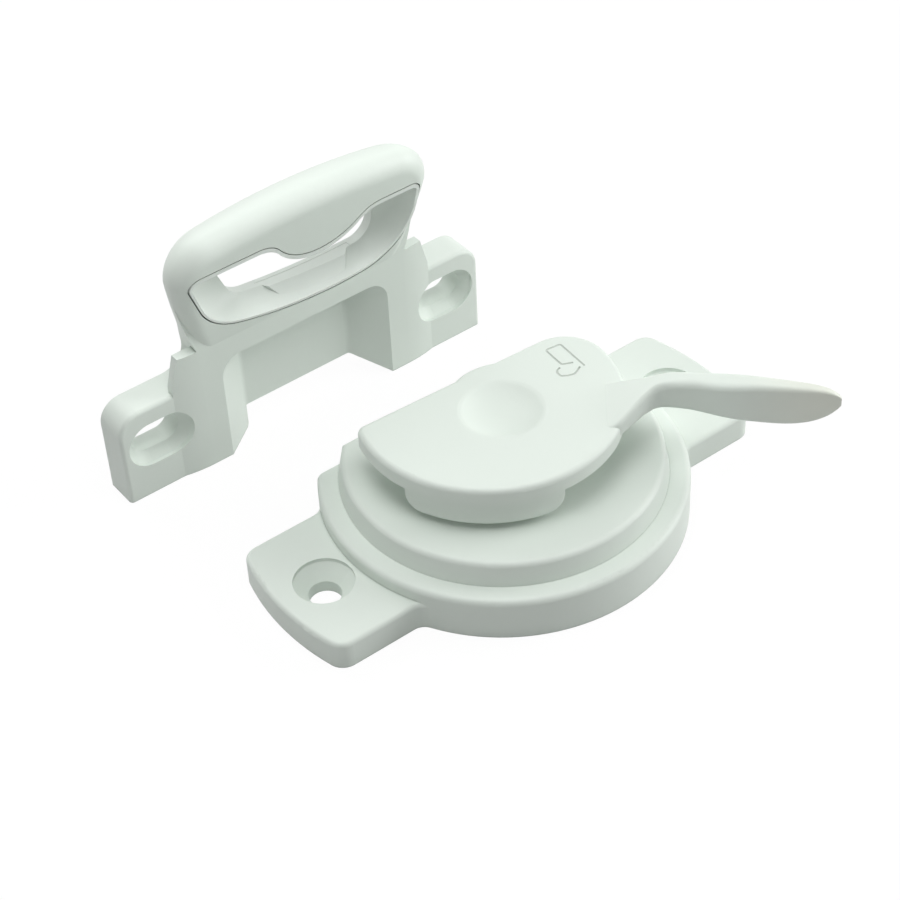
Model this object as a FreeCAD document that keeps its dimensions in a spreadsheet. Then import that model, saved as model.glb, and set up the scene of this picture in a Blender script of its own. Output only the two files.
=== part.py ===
import FreeCAD, Part
import math
import os
import Sketcher

# Swivel sash lock with its keeper, in millimetres.
# The origin lies on the lock's pivot axis, at the underside of its base.
# +X runs along the base's two ears, +Y points to the keeper, +Z is up.
# The lock stands open, and the keeper stands behind it on the same level.

SIZES = {
    # Base casting: a round housing in two tiers, with an ear at each side
    "disc_radius": 27.0,
    "disc_height": 6.8,
    "tier_foot_radius": 23.9,
    "tier_top_radius": 23.2,
    "tier_height": 10.4,
    "rear_flat": 16.0,
    "ear_thickness": 4.5,
    "ear_end_radius": 39.5,
    "ear_half_width": 12.0,
    "ear_corner": 2.6,
    "ear_root_blend": 2.2,
    "base_wall": 2.0,
    "deck_thickness": 2.2,
    "rim_round": 0.9,
    "ear_round": 0.7,
    "base_screw_half_pitch": 32.0,
    # Screw holes, for 4 mm countersunk screws
    "screw_bore": 4.8,
    "screw_rim": 8.8,
    "screw_rim_depth": 0.6,
    # Pivot: pin, bore, washers and spring
    "boss_radius": 12.0,
    "boss_foot": 6.0,
    "rib_thickness": 1.6,
    "rib_count": 4,
    "pin_radius": 4.0,
    "pin_spigot_radius": 3.0,
    "pin_spigot_length": 3.8,
    "pin_running_gap": 0.08,
    "pin_seat_gap": 0.03,
    "stake_radius": 4.4,
    "stake_height": 1.2,
    "retainer_radius": 8.5,
    "retainer_thickness": 1.0,
    "spring_radius": 8.0,
    "spring_thickness": 0.6,
    "spring_rise": 0.4,
    "thrust_radius": 6.2,
    "thrust_thickness": 0.8,
    # Stop that ends the lever's turn: a lug on the cam in a curved track in the base
    "lever_turn": 135.0,
    "stop_track_radius": 7.6,
    "stop_track_depth": 1.4,
    "stop_lug_radius": 1.0,
    "stop_lug_length": 2.0,
    "stop_gap": 0.3,
    # Cam: a plate cut straight at the back, with a hooked lip under its leading half
    "lever_rest_angle": -38.5,
    "plate_rest_angle": -3.0,
    "plate_top": 18.2,
    "plate_thickness": 2.7,
    "plate_radius": 19.6,
    "plate_centre": 3.2,
    "plate_edge": 9.1,
    "plate_tip_round": 1.6,
    "plate_heel_round": 6.5,
    "plate_round": 0.8,
    "edge_bulge_height": 0.7,
    "edge_bulge_width": 7.0,
    "edge_bulge_place": 1.6,
    "hub_radius": 9.7,
    "lip_inset": 0.5,
    "lip_thickness": 2.6,
    "lip_foot": 11.4,
    "lip_start": 196.0,
    "lip_end": 268.5,
    "lip_end_round": 2.6,
    "lip_edge_round": 0.5,
    "dimple_radius": 6.0,
    "dimple_depth": 1.9,
    "dimple_round": 1.2,
    # Lever: an upright leaf that grows out of the plate's corner
    "lever_length": 47.7,
    "lever_root": 11.0,
    "lever_thickness": 3.2,
    "lever_top": 21.2,
    "lever_height": 7.0,
    # Keeper body: legs and ears under a thin face whose sides curve back to the ears
    "keeper_x": -9.9,
    "keeper_y": 34.4,
    "keeper_half_length": 32.7,
    "keeper_depth": 6.0,
    "keeper_ear_height": 15.8,
    "keeper_ear_corner": 3.6,
    "keeper_ear_step": 0.6,
    "keeper_edge_round": 0.6,
    "keeper_screw_half_pitch": 26.1,
    "keeper_screw_height": 9.1,
    "keeper_slot_rim": 7.6,
    "keeper_slot_travel": 3.3,
    "face_half_width": 23.2,
    "face_flat_half_width": 18.3,
    "face_thickness": 1.8,
    "face_height": 22.0,
    "face_bevel_foot": 17.0,
    "face_bevel": 1.4,
    "recess_half_width": 15.0,
    "recess_height": 18.3,
    "recess_depth": 4.0,
    "recess_flare": 5.4,
    "recess_corner": 3.5,
    "recess_round": 1.4,
    "web_foot": 4.2,
    # Keeper head: a hood that narrows to the back, over a leaning front
    "head_half_width": 21.8,
    "head_nose_taper": 1.2,
    "head_back_taper": 4.0,
    "head_neck_half_width": 17.8,
    "head_neck_blend": 4.0,
    "head_foot": 14.0,
    "head_side_radius": 60.0,
    "head_top": 43.4,
    "head_nose_drop": 0.4,
    "head_back_drop": 5.2,
    "head_corner": 6.5,
    "head_crown_radius": 100.0,
    "head_lean_foot": 21.8,
    "head_lean": 14.2,
    "head_front_round": 2.6,
    # Mouth through the head: its sides, floor and roof aren't the same left and right
    "mouth_wall": 1.5,
    "mouth_back_wall": 2.9,
    "mouth_back_place": 2.0,
    "mouth_left_lean": 23.0,
    "mouth_right_lean": 6.0,
    "mouth_floor": 21.5,
    "mouth_floor_radius": 55.0,
    "mouth_back_floor_radius": 120.0,
    "mouth_floor_place": 5.0,
    "mouth_back_floor_place": 7.5,
    "mouth_floor_corner": 10.5,
    "mouth_back_floor_corner": 4.6,
    "mouth_brow": 6.3,
    "mouth_back_brow": 2.0,
    "mouth_roof_tilt": 0.65,
    "mouth_dip_place": 2.0,
    "mouth_dip_foot": 32.0,
    "mouth_dip_half_width": 10.5,
    "mouth_back_dip_half_width": 8.0,
    "mouth_dip_hump": 0.35,
    "mouth_top_corner": 2.0,
    "mouth_back_top_corner": 4.5,
    # Liner in the mouth
    "liner_gap": 0.2,
    "liner_edge": 0.6,
    "liner_roof_wall": 0.8,
    "liner_floor_wall": 0.5,
    "liner_sill_rise": 2.4,
    "liner_land": 2.0,
    "liner_back_inset": 0.35,
    "tooth_place": 3.2,
    "tooth_front": 1.1,
    "tooth_half_width": 5.2,
    "tooth_length": 3.6,
    "tooth_flare": 3.1,
    "tooth_foot_rise": 0.25,
    "tooth_height": 3.0,
    "tooth_slope": 2.9,
    "tooth_hollow": 0.35,
}


class Dim:
    """A length or angle, kept with the sheet formula that gives it."""

    def __init__(self, value, formula):
        self.value = float(value)
        self.formula = formula

    @staticmethod
    def of(thing):
        return thing if isinstance(thing, Dim) else Dim(thing, repr(float(thing)))

    def join(self, other, sign, value):
        return Dim(value, "(%s %s %s)" % (self.formula, sign, other.formula))

    def __add__(self, other):
        other = Dim.of(other)
        return self.join(other, "+", self.value + other.value)

    def __radd__(self, other):
        return Dim.of(other) + self

    def __sub__(self, other):
        other = Dim.of(other)
        return self.join(other, "-", self.value - other.value)

    def __rsub__(self, other):
        return Dim.of(other) - self

    def __mul__(self, other):
        other = Dim.of(other)
        return self.join(other, "*", self.value * other.value)

    def __rmul__(self, other):
        return Dim.of(other) * self

    def __truediv__(self, other):
        other = Dim.of(other)
        return self.join(other, "/", self.value / other.value)

    def __neg__(self):
        return Dim(-self.value, "(-1 * %s)" % self.formula)


def root(dim):
    return Dim(math.sqrt(dim.value), "sqrt(%s)" % dim.formula)


def cosine(dim):
    return Dim(math.cos(math.radians(dim.value)), "cos(%s)" % dim.formula)


def sine(dim):
    return Dim(math.sin(math.radians(dim.value)), "sin(%s)" % dim.formula)


ZERO = Dim(0, "0")


def size(name):
    return Dim(SIZES[name], "sizes." + name)


def polar(radius, angle):
    return radius * cosine(angle), radius * sine(angle)


def make_sheet(doc):
    sheet = doc.addObject("Spreadsheet::Sheet", "sizes")
    for row, (name, value) in enumerate(SIZES.items(), start=1):
        sheet.set("A%d" % row, name.replace("_", " "))
        sheet.set("B%d" % row, str(value))
        sheet.setAlias("B%d" % row, name)
    doc.recompute()
    return sheet


def bind(thing, prop, dim):
    thing.setExpression(prop, Dim.of(dim).formula)


def make_body(doc, label):
    body = doc.addObject("PartDesign::Body", label)
    body.Label = label
    return body


def plane_of(body, role):
    for feature in body.Origin.OriginFeatures:
        if feature.Role == role:
            return feature
    raise ValueError("no plane " + role)


def make_sketch(body, name, role="XY_Plane", lift=ZERO, turn=None):
    """A sketch on one of the body's planes, lifted along its normal and turned in it."""
    sketch = body.newObject("Sketcher::SketchObject", name)
    sketch.AttachmentSupport = (plane_of(body, role), [""])
    sketch.MapMode = "FlatFace"
    lift = Dim.of(lift)
    angle = turn.value if turn else 0.0
    spin = FreeCAD.Rotation(FreeCAD.Vector(0, 0, 1), angle)
    sketch.AttachmentOffset = FreeCAD.Placement(FreeCAD.Vector(0, 0, lift.value), spin)
    bind(sketch, "AttachmentOffset.Base.z", lift)
    if turn:
        bind(sketch, "AttachmentOffset.Rotation.Angle", turn)
    return sketch


def pin_point(sketch, geometry, position, point):
    """Tie one point of a sketch to its two formulas."""
    for kind, axis, dim in (("DistanceX", -2, point[0]), ("DistanceY", -1, point[1])):
        dim = Dim.of(dim)
        if dim is ZERO or abs(dim.value) < 1e-9:
            sketch.addConstraint(Sketcher.Constraint("PointOnObject", geometry, position, axis))
            continue
        index = sketch.addConstraint(
            Sketcher.Constraint(kind, -1, 1, geometry, position, dim.value))
        bind(sketch, "Constraints[%d]" % index, dim)


def vector(point):
    return FreeCAD.Vector(Dim.of(point[0]).value, Dim.of(point[1]).value, 0)


def arc_between(start, end, radius, turn):
    """An arc from start to end, turning left (+1) or right (-1), shorter than a half circle."""
    chord = end - start
    middle = (start + end) * 0.5
    rise = math.sqrt(max(radius ** 2 - (chord.Length / 2) ** 2, 0.0))
    side = FreeCAD.Vector(-chord.y, chord.x, 0)
    side.normalize()
    centre = middle + side * rise * turn
    first, last = (start, end) if turn > 0 else (end, start)
    angles = [math.atan2(p.y - centre.y, p.x - centre.x) for p in (first, last)]
    if angles[1] < angles[0]:
        angles[1] += 2 * math.pi
    circle = Part.Circle(centre, FreeCAD.Vector(0, 0, 1), radius)
    return Part.ArcOfCircle(circle, angles[0], angles[1])


def draw(sketch, start, *steps):
    """A closed outline: each step is a point, or (point, radius, turn) for an arc to it."""
    points = [start] + [step if len(step) == 2 else step[0] for step in steps]
    count = len(steps)
    ends = []
    for number, step in enumerate(steps):
        here, there = vector(points[number]), vector(points[(number + 1) % (count + 1)])
        if len(step) == 2:
            index = sketch.addGeometry(Part.LineSegment(here, there), False)
            ends.append((index, 1, 2))
            continue
        radius, turn = Dim.of(step[1]), step[2]
        index = sketch.addGeometry(arc_between(here, there, radius.value, turn), False)
        ends.append((index, 1, 2) if turn > 0 else (index, 2, 1))
        place = sketch.addConstraint(Sketcher.Constraint("Radius", index, radius.value))
        bind(sketch, "Constraints[%d]" % place, radius)
    for number, (index, first, last) in enumerate(ends):
        following = ends[(number + 1) % len(ends)]
        sketch.addConstraint(
            Sketcher.Constraint("Coincident", index, last, following[0], following[1]))
        pin_point(sketch, index, first, points[number])
    return sketch


def draw_circle(sketch, centre, radius):
    radius = Dim.of(radius)
    circle = Part.Circle(vector(centre), FreeCAD.Vector(0, 0, 1), radius.value)
    index = sketch.addGeometry(circle, False)
    place = sketch.addConstraint(Sketcher.Constraint("Radius", index, radius.value))
    bind(sketch, "Constraints[%d]" % place, radius)
    pin_point(sketch, index, 3, centre)
    return sketch


def closed(*steps):
    """Steps of an outline that ends where it starts."""
    return steps[0], steps[1:] + (steps[0],)


def pad(body, sketch, length, name, reverse=False):
    feature = body.newObject("PartDesign::Pad", name)
    feature.Profile = sketch
    bind(feature, "Length", length)
    feature.Reversed = reverse
    return feature


def pocket(body, sketch, length, name, reverse=False):
    feature = body.newObject("PartDesign::Pocket", name)
    feature.Profile = sketch
    bind(feature, "Length", length)
    feature.Reversed = reverse
    return feature


def loft(body, kind, name, sections):
    feature = body.newObject("PartDesign::" + kind, name)
    feature.Profile = sections[0]
    feature.Sections = sections[1:]
    return feature


def revolve(body, sketch, name, cut=False):
    kind = "PartDesign::Groove" if cut else "PartDesign::Revolution"
    feature = body.newObject(kind, name)
    feature.Profile = sketch
    feature.ReferenceAxis = (sketch, ["V_Axis"])
    feature.Angle = 360
    return feature


def fillet(doc, body, radius, name, wanted):
    """Round the edges of the body's tip that the test picks."""
    doc.recompute()
    tip = body.Tip
    names = ["Edge%d" % number for number, edge in enumerate(tip.Shape.Edges, start=1)
             if wanted(edge)]
    if not names:
        raise ValueError("no edge for " + name)
    feature = body.newObject("PartDesign::Fillet", name)
    feature.Base = (tip, names)
    bind(feature, "Radius", radius)
    doc.recompute()
    return feature


def level(edge, height, slack=0.01):
    """True where the whole edge lies at one height."""
    box = edge.BoundBox
    return abs(box.ZMin - height) < slack and abs(box.ZMax - height) < slack


def middle_of(edge):
    return edge.valueAt((edge.FirstParameter + edge.LastParameter) / 2)


def box_sketch(body, name, role, lift, left, right, low, high, turn=None):
    sketch = make_sketch(body, name, role, lift, turn)
    start, steps = closed((left, low), (right, low), (right, high), (left, high))
    return draw(sketch, start, *steps)


def countersink(body, name, role, lift, centre, reverse):
    """A screw hole: a short straight rim, a seat at 90 degrees and a bore right through."""
    rim, bore = size("screw_rim"), size("screw_bore")
    rim_sketch = make_sketch(body, name + "_rim", role, lift)
    pocket(body, draw_circle(rim_sketch, centre, rim / 2), size("screw_rim_depth"),
           name + "_rim_cut", reverse)
    bore_sketch = make_sketch(body, name + "_bore", role, lift)
    through = size("keeper_depth") * 2
    pocket(body, draw_circle(bore_sketch, centre, bore / 2), through, name + "_bore_cut", reverse)
    cone = body.newObject("PartDesign::SubtractiveCone", name + "_seat")
    cone.AttachmentSupport = (plane_of(body, role), [""])
    cone.MapMode = "FlatFace"
    depth = (rim - bore) / 2
    # The cone's own axis follows the plane's normal, with its wide end at the rim
    bind(cone, "Height", depth)
    inward = -1 if not reverse else 1
    if inward < 0:
        bind(cone, "Radius1", bore / 2)
        bind(cone, "Radius2", rim / 2)
        foot = lift - size("screw_rim_depth") - depth
    else:
        bind(cone, "Radius1", rim / 2)
        bind(cone, "Radius2", bore / 2)
        foot = lift + size("screw_rim_depth")
    cone.AttachmentOffset = FreeCAD.Placement(
        FreeCAD.Vector(Dim.of(centre[0]).value, Dim.of(centre[1]).value, foot.value),
        FreeCAD.Rotation())
    bind(cone, "AttachmentOffset.Base.x", centre[0])
    bind(cone, "AttachmentOffset.Base.y", centre[1])
    bind(cone, "AttachmentOffset.Base.z", foot)
    return cone


def draw_track(sketch, radius, half_width, low, high):
    """A curved slot about the origin, between two angles, with round ends."""
    def cap(angle, way):
        centre = polar(radius, angle)
        return (centre[0] - half_width * sine(angle) * way,
                centre[1] + half_width * cosine(angle) * way)

    start = polar(radius + half_width, low)
    return draw(
        sketch, start,
        (polar(radius + half_width, high), radius + half_width, 1),
        (cap(high, 1), half_width, 1),
        (polar(radius - half_width, high), half_width, 1),
        (polar(radius - half_width, low), radius - half_width, -1),
        (cap(low, -1), half_width, 1),
        (start, half_width, 1))


def cut_disc(sketch, radius, chord):
    """A disc whose back is cut off straight at a chord."""
    half = root(radius * radius - chord * chord)
    start, steps = closed(
        (half, chord),
        (-half, chord),
        ((-radius, ZERO), radius, 1),
        ((ZERO, -radius), radius, 1),
        ((radius, ZERO), radius, 1))
    steps = steps[:-1] + ((start, radius, 1),)
    return draw(sketch, start, *steps)


def make_base(doc):
    body = make_body(doc, "base_casting")
    disc, tier = size("disc_radius"), size("tier_height")
    flat, wall = size("rear_flat"), size("base_wall")

    # The two ears, as one plate whose ends are concentric with the pivot,
    # with a hollow blend where each side meets the round wall
    end, half, blend = size("ear_end_radius"), size("ear_half_width"), size("ear_root_blend")
    reach = root(end * end - half * half)
    blend_x = root((disc + blend) * (disc + blend) - (half + blend) * (half + blend))
    meet_x = blend_x * disc / (disc + blend)
    meet_y = (half + blend) * disc / (disc + blend)
    start, steps = closed(
        (-reach, half),
        ((-reach, -half), end, 1),
        (-blend_x, -half),
        ((-meet_x, -meet_y), blend, -1),
        (meet_x, -meet_y),
        ((blend_x, -half), blend, -1),
        (reach, -half),
        ((reach, half), end, 1),
        (blend_x, half),
        ((meet_x, meet_y), blend, -1),
        (-meet_x, meet_y),
        ((-blend_x, half), blend, -1))
    ears = draw(make_sketch(body, "ear_outline"), start, *steps)
    pad(body, ears, size("ear_thickness"), "ears")
    fillet(doc, body, size("ear_corner"), "ear_corners",
           lambda e: abs(abs(middle_of(e).y) - half.value) < 0.01
           and abs(abs(middle_of(e).x) - reach.value) < 0.01)
    fillet(doc, body, size("ear_round"), "ear_rounds",
           lambda e: level(e, size("ear_thickness").value)
           and math.hypot(middle_of(e).x, middle_of(e).y) > disc.value)

    # The round housing, turned: a straight first tier and a drafted second one
    tiers = make_sketch(body, "tier_profile", "XZ_Plane")
    start, steps = closed(
        (ZERO, ZERO),
        (disc, ZERO),
        (disc, size("disc_height")),
        (size("tier_foot_radius"), size("disc_height")),
        (size("tier_top_radius"), tier),
        (ZERO, tier))
    revolve(body, draw(tiers, start, *steps), "tiers")

    # The housing's back is cut flat, in line with the sash rail's edge
    far = disc * 2
    rear = box_sketch(body, "rear_outline", "XY_Plane", ZERO, -far, far, flat, far)
    pocket(body, rear, tier * 2, "rear_cut", True)

    fillet(doc, body, size("rim_round"), "tier_rounds",
           lambda e: level(e, size("disc_height").value)
           and abs(math.hypot(middle_of(e).x, middle_of(e).y) - disc.value) < 0.01
           or level(e, tier.value))

    # Hollow underside, with walls of even thickness and a boss for the pivot
    inner = disc - wall
    back = flat - wall
    hollow = cut_disc(make_sketch(body, "hollow_outline"), inner, back)
    pocket(body, hollow, size("disc_height") - size("deck_thickness"), "hollow", True)
    deck = tier - size("deck_thickness")
    dome = cut_disc(make_sketch(body, "upper_hollow_outline"), size("tier_top_radius") - wall, back)
    draw_circle(dome, (ZERO, ZERO), size("boss_radius"))
    pocket(body, dome, deck, "upper_hollow", True)
    under = draw_circle(make_sketch(body, "boss_outline"), (ZERO, ZERO), size("boss_radius"))
    pocket(body, under, size("boss_foot"), "boss_relief", True)
    bore = draw_circle(make_sketch(body, "pivot_bore_outline"), (ZERO, ZERO),
                       size("pin_radius") + size("pin_running_gap"))
    pocket(body, bore, tier * 2, "pivot_bore", True)

    # Ribs from the boss to the wall, in the corners between the axes
    half_rib = size("rib_thickness") / 2
    rib_end = size("tier_top_radius") - wall * 0.8
    rib_foot = size("boss_foot") / 4
    for number in range(SIZES["rib_count"]):
        turn = (number + Dim.of(0.5)) * 360 / size("rib_count")
        rib = box_sketch(body, "rib_outline_%d" % number, "XY_Plane", rib_foot,
                         size("boss_radius") - wall / 2, rib_end, -half_rib, half_rib, turn)
        pad(body, rib, tier - size("deck_thickness") / 2 - rib_foot, "rib_%d" % number)

    # Screw holes in the ears
    for side, name in ((-1, "left_hole"), (1, "right_hole")):
        countersink(body, name, "XY_Plane", size("ear_thickness"),
                    (side * size("base_screw_half_pitch"), ZERO), False)

    # Curved track for the cam's stop lug
    track = make_sketch(body, "stop_track_outline", "XY_Plane", tier)
    first = size("plate_rest_angle") - 90
    draw_track(track, size("stop_track_radius"), size("stop_lug_radius") + size("stop_gap"),
               first - size("lever_turn"), first)
    pocket(body, track, size("stop_track_depth"), "stop_track")
    return body


def plate_frame(point):
    """A point of the cam's own frame, seen in the plate's frame."""
    turn = math.radians(SIZES["lever_rest_angle"] - SIZES["plate_rest_angle"])
    return (point.x * math.cos(turn) - point.y * math.sin(turn),
            point.x * math.sin(turn) + point.y * math.cos(turn))


def near(edge, x, y, slack=0.05):
    """True for an edge whose middle stands over one point of the plate's frame."""
    here = plate_frame(middle_of(edge))
    return math.hypot(here[0] - Dim.of(x).value, here[1] - Dim.of(y).value) < slack


def draw_plate(sketch, half, edge, centre, radius):
    """The plate seen from above: an arc, closed by a straight edge with a small bulge."""
    bump, wide = size("edge_bulge_height"), size("edge_bulge_width")
    place = size("edge_bulge_place")
    bump_radius = (wide * wide / 4 + bump * bump) / (bump * 2)
    start = (half, edge)
    return draw(
        sketch, start,
        (place + wide / 2, edge),
        ((place - wide / 2, edge), bump_radius, 1),
        (-half, edge),
        ((-radius, centre), radius, 1),
        ((ZERO, centre - radius), radius, 1),
        ((radius, centre), radius, 1),
        (start, radius, 1))


def draw_sector(sketch, centre, outer, inner, first, last):
    """A part of a ring, between two angles about a centre on the Y axis."""
    def place(radius, angle):
        x, y = polar(radius, angle)
        return x, y + centre

    start = place(outer, first)
    return draw(
        sketch, start,
        (place(outer, last), outer, 1),
        place(inner, last),
        (place(inner, first), inner, -1),
        start)


def draw_bar(sketch, front, back, low, high, corner):
    """A rectangle with round corners, which is one section of the lever."""
    start = (front + corner, low)
    return draw(
        sketch, start,
        (back - corner, low),
        ((back, low + corner), corner, 1),
        (back, high - corner),
        ((back - corner, high), corner, 1),
        (front + corner, high),
        ((front, high - corner), corner, 1),
        (front, low + corner),
        (start, corner, 1))


# The lever's sections, from its root to its tip. Each gives its place along the lever
# as a share of the way, its front and back faces in leaf thicknesses, how far its top
# has risen from the plate to the lever's full top, and its height as a share of the leaf's.
LEVER_SECTIONS = (
    (0.0, -1.56, 1.72, 0.0, 0.36),
    (0.123, -1.44, 1.63, 0.1, 0.386),
    (0.232, -0.81, 1.31, 0.67, 0.557),
    (0.341, -0.125, 1.06, 0.93, 0.686),
    (0.545, 0.0, 1.0, 1.0, 0.857),
    (0.749, 0.0, 0.81, 0.93, 0.986),
    (0.886, 0.0, 0.59, 0.73, 0.857),
    (0.967, 0.03, 0.375, 0.47, 0.53),
    (1.0, 0.09, 0.25, 0.13, 0.2),
)
SECTION_CORNER = 0.28


def add_lever(body):
    base, length = size("lever_root"), size("lever_length")
    leaf, plate_top = size("lever_thickness"), size("plate_top")
    sections = []
    for number, (along, front, back, rise, share) in enumerate(LEVER_SECTIONS):
        place = base + (length - base) * along
        high = plate_top + (size("lever_top") - plate_top) * rise
        tall = size("lever_height") * share
        wide = leaf * (back - front)
        narrow = wide if wide.value < tall.value else tall
        sketch = make_sketch(body, "lever_section_%d" % number, "YZ_Plane", place)
        sections.append(draw_bar(sketch, leaf * front, leaf * back, high - tall, high,
                                 narrow * SECTION_CORNER))
    return loft(body, "AdditiveLoft", "lever", sections)


def make_cam(doc):
    """Plate, hub, hooked lip and lever: one casting, modelled with +X along its lever."""
    body = make_body(doc, "cam_lever")
    swing = size("plate_rest_angle") - size("lever_rest_angle")
    top, thick = size("plate_top"), size("plate_thickness")
    under = top - thick
    radius, centre, edge = size("plate_radius"), size("plate_centre"), size("plate_edge")
    half = root(radius * radius - (edge - centre) * (edge - centre))

    plate = make_sketch(body, "plate_outline", "XY_Plane", under, swing)
    pad(body, draw_plate(plate, half, edge, centre, radius), thick, "plate")
    fillet(doc, body, size("plate_tip_round"), "plate_tip", lambda e: near(e, -half, edge))
    fillet(doc, body, size("plate_heel_round"), "plate_heel", lambda e: near(e, half, edge))
    fillet(doc, body, size("plate_round"), "plate_rim", lambda e: level(e, top.value))

    # Thumb dimple over the pivot, a part of a sphere with a soft rim
    wide, deep = size("dimple_radius"), size("dimple_depth")
    sphere = (wide * wide + deep * deep) / (deep * 2)
    dimple = make_sketch(body, "dimple_profile", "XZ_Plane")
    start = (ZERO, top - deep)
    draw(dimple, start, ((wide, top), sphere, 1), (wide, top + deep), (ZERO, top + deep), start)
    revolve(body, dimple, "dimple", cut=True)
    fillet(doc, body, size("dimple_round"), "dimple_rim",
           lambda e: level(e, top.value)
           and abs(math.hypot(e.Vertexes[0].X, e.Vertexes[0].Y) - wide.value) < 0.01)

    # Hooked lip under the plate's leading half
    outer = radius - size("lip_inset")
    inner = outer - size("lip_thickness")
    foot = size("lip_foot")
    lip = make_sketch(body, "lip_outline", "XY_Plane", foot, swing)
    draw_sector(lip, centre, outer, inner, size("lip_start"), size("lip_end"))
    pad(body, lip, under - foot + thick / 2, "lip")
    fillet(doc, body, size("lip_end_round"), "lip_ends",
           lambda e: level(e, foot.value) and isinstance(e.Curve, Part.Line))
    fillet(doc, body, size("lip_edge_round"), "lip_edge",
           lambda e: level(e, foot.value) and isinstance(e.Curve, Part.Circle))

    # Hub that rides on the thrust washer, with the stop lug and the pin's socket
    hub_foot = size("tier_height") + size("thrust_thickness")
    hub = draw_circle(make_sketch(body, "hub_outline", "XY_Plane", hub_foot), (ZERO, ZERO),
                      size("hub_radius"))
    pad(body, hub, under - hub_foot + thick / 4, "hub")
    lug_foot = hub_foot - size("stop_lug_length")
    lug = draw_circle(make_sketch(body, "stop_lug_outline", "XY_Plane", lug_foot, swing),
                      (ZERO, -size("stop_track_radius")), size("stop_lug_radius"))
    pad(body, lug, size("stop_lug_length") + thick / 4, "stop_lug")
    socket = draw_circle(make_sketch(body, "socket_outline", "XY_Plane", hub_foot), (ZERO, ZERO),
                         size("pin_spigot_radius") + size("pin_seat_gap"))
    pocket(body, socket, size("pin_spigot_length"), "socket", True)

    add_lever(body)
    body.Placement = FreeCAD.Placement(
        FreeCAD.Vector(), FreeCAD.Rotation(FreeCAD.Vector(0, 0, 1), SIZES["lever_rest_angle"]))
    bind(body, "Placement.Rotation.Angle", size("lever_rest_angle"))
    return body


def turned(doc, label, *outline):
    """A piece turned about the pivot axis from its half section."""
    body = make_body(doc, label)
    sketch = make_sketch(body, label + "_profile", "XZ_Plane")
    revolve(body, draw(sketch, outline[0], *(outline[1:] + (outline[0],))), label + "_turning")
    return body


def make_pivot(doc):
    """Pin, thrust washer, friction spring and retaining washer, stacked on the pivot axis."""
    deck = size("tier_height")
    boss = size("boss_foot")
    thrust = size("thrust_thickness")
    gap = size("pin_running_gap")
    shaft, spigot = size("pin_radius"), size("pin_spigot_radius")
    seat = size("pin_seat_gap")
    plate = size("retainer_thickness")
    leaf = size("spring_thickness")
    rise = size("spring_rise")
    retainer_top = boss - leaf - rise
    retainer_foot = retainer_top - plate
    pin = turned(
        doc, "pivot_pin",
        (ZERO, retainer_foot - size("stake_height")),
        (size("stake_radius"), retainer_foot - size("stake_height")),
        (size("stake_radius"), retainer_foot),
        (spigot, retainer_foot),
        (spigot, retainer_top),
        (shaft, retainer_top),
        (shaft, deck + thrust),
        (spigot, deck + thrust),
        (spigot, deck + thrust + size("pin_spigot_length")),
        (ZERO, deck + thrust + size("pin_spigot_length")))
    inner = shaft + gap
    retainer = turned(
        doc, "retaining_washer",
        (spigot + seat, retainer_foot),
        (size("retainer_radius"), retainer_foot),
        (size("retainer_radius"), retainer_top),
        (spigot + seat, retainer_top))
    spring = turned(
        doc, "friction_spring",
        (inner + gap, boss - leaf),
        (size("spring_radius"), retainer_top),
        (size("spring_radius"), retainer_top + leaf),
        (inner + gap, boss))
    thrust_washer = turned(
        doc, "thrust_washer",
        (inner, deck),
        (size("thrust_radius"), deck),
        (size("thrust_radius"), deck + thrust),
        (inner, deck + thrust))
    return [pin, retainer, spring, thrust_washer]


def front_mouth(wide, top):
    """The mouth where the head is so wide and so high, from its nose to its middle."""
    return {
        "place": ZERO,
        "half": wide - size("mouth_wall"),
        "floor": size("mouth_floor"),
        "floor_place": size("mouth_floor_place"),
        "floor_radius": size("mouth_floor_radius"),
        "floor_corner": size("mouth_floor_corner"),
        "roof": top - size("mouth_brow"),
        "top_corner": size("mouth_top_corner"),
        "dip_half": size("mouth_dip_half_width"),
        "dip_foot": size("mouth_dip_foot"),
    }


def back_mouth():
    return {
        "place": size("mouth_back_place"),
        "half": size("head_half_width") - size("head_back_taper") - size("mouth_back_wall"),
        "floor": size("mouth_floor"),
        "floor_place": size("mouth_back_floor_place"),
        "floor_radius": size("mouth_back_floor_radius"),
        "floor_corner": size("mouth_back_floor_corner"),
        "roof": size("head_top") - size("head_back_drop") - size("mouth_back_brow"),
        "top_corner": size("mouth_back_top_corner"),
        "dip_half": size("mouth_back_dip_half_width"),
        "dip_foot": size("mouth_dip_foot"),
    }


def trimmed(mouth, side, low, high):
    """A mouth made smaller by a wall at its sides, its floor and its roof."""
    smaller = dict(mouth)
    for name in ("half", "floor_corner", "top_corner"):
        smaller[name] = mouth[name] - side
    for name in ("roof", "dip_foot"):
        smaller[name] = mouth[name] - high
    smaller["floor"] = mouth["floor"] + low
    return smaller


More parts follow.
